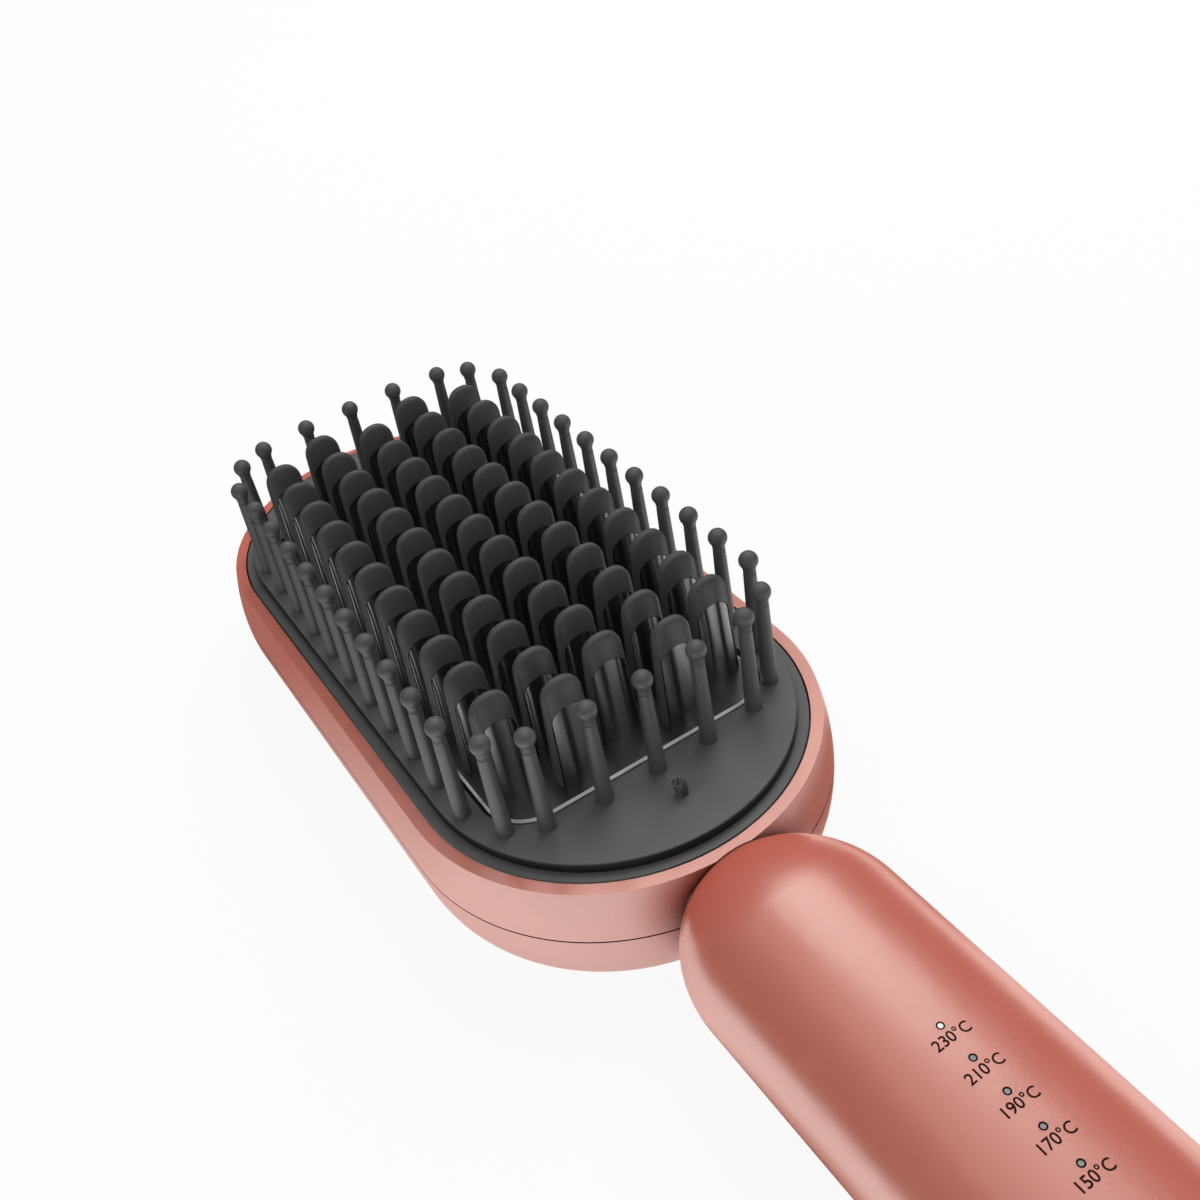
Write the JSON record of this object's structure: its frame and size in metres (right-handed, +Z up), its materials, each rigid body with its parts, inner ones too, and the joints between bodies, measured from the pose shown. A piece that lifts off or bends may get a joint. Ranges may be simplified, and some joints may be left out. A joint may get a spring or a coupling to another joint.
{
  "type": "heated straightening brush",
  "caption": "Paddle-shaped heated hair brush with ceramic-fed metal blades, cool ball-tipped edge pins, push buttons on a straight handle and a turning cord inlet.",
  "frame": {"origin": "on the surface the brush lies on, in the middle of its length and width", "axes": "+Y from the handle to the tip of the head, +Z up, the way the bristles point"},
  "size_m": [0.0658, 0.29, 0.0395],
  "materials": {
    "shell": "satin coral metallic paint",
    "dark_plastic": "matt dark grey moulding",
    "coated_metal": "gloss black ceramic coating",
    "gasket": "matt black silicone",
    "film": "amber insulating film",
    "contact_metal": "plain sheet",
    "ceramic": "grey ceramic",
    "steel": "zinc plated",
    "inner_plastic": "black heat resisting plastic",
    "sensor_glass": "sealed bead",
    "carbon": "carbon fibre tuft",
    "lead_insulation": "silicone sleeve",
    "lens": "clear light guide",
    "led_body": "white package",
    "circuit_board": "green solder mask",
    "button_plastic": "dark grey, lightly polished",
    "component_yellow": "yellow moulded case",
    "terminal_plastic": "pale moulding"
  },
  "bodies": {
    "brush": {"head_top_casing": "shell", "head_back_casing": "shell", "bristle_plate": "dark_plastic", "edge_pins": "dark_plastic", "pin_tips": "dark_plastic", "heater_plate": "coated_metal", "heating_blades": "coated_metal", "blade_caps": "dark_plastic", "plate_gasket": "gasket", "heater_insulation": "film", "heater_electrodes": "contact_metal", "ptc_heaters": "ceramic", "heater_clamp": "steel", "clamp_screws": "steel", "heater_carrier": "inner_plastic", "plate_screws": "steel", "head_screws": "steel", "thermistor": "sensor_glass", "thermal_fuse": "steel", "ion_bush": "inner_plastic", "ion_emitter": "carbon", "ion_generator": "inner_plastic", "ion_lead": "lead_insulation", "neck_frame": "shell", "handle_top_shell": "shell", "handle_bottom_shell": "shell", "handle_screws": "steel", "indicator_lenses": "lens", "indicator_leds": "led_body", "control_board": "circuit_board", "power_board": "circuit_board", "board_screws": "steel", "button_switches": "inner_plastic", "filter_capacitor": "component_yellow", "triac": "inner_plastic", "cord_terminal_block": "terminal_plastic", "heater_leads": "lead_insulation", "sensor_leads": "lead_insulation", "swivel_bush": "dark_plastic"},
    "power_key": {"power_button": "button_plastic"},
    "up_key": {"temperature_up_button": "button_plastic"},
    "down_key": {"temperature_down_button": "button_plastic"},
    "swivel": {"swivel_gland": "dark_plastic", "swivel_clip": "steel"}
  },
  "joints": [
    {"name": "power_press", "type": "slide", "parent": "brush", "child": "power_key", "axis": [0, 0, -1], "range_m": [0, 0.0006], "stiffness_N_per_m": 2500},
    {"name": "temperature_up_press", "type": "slide", "parent": "brush", "child": "up_key", "axis": [0, 0, -1], "range_m": [0, 0.0006], "stiffness_N_per_m": 2500},
    {"name": "temperature_down_press", "type": "slide", "parent": "brush", "child": "down_key", "axis": [0, 0, -1], "range_m": [0, 0.0006], "stiffness_N_per_m": 2500},
    {"name": "cord_swivel", "type": "hinge", "parent": "brush", "child": "swivel", "pos_m": [0, -0.13, 0.0128], "axis": [0, 1, 0], "continuous": true}
  ]
}
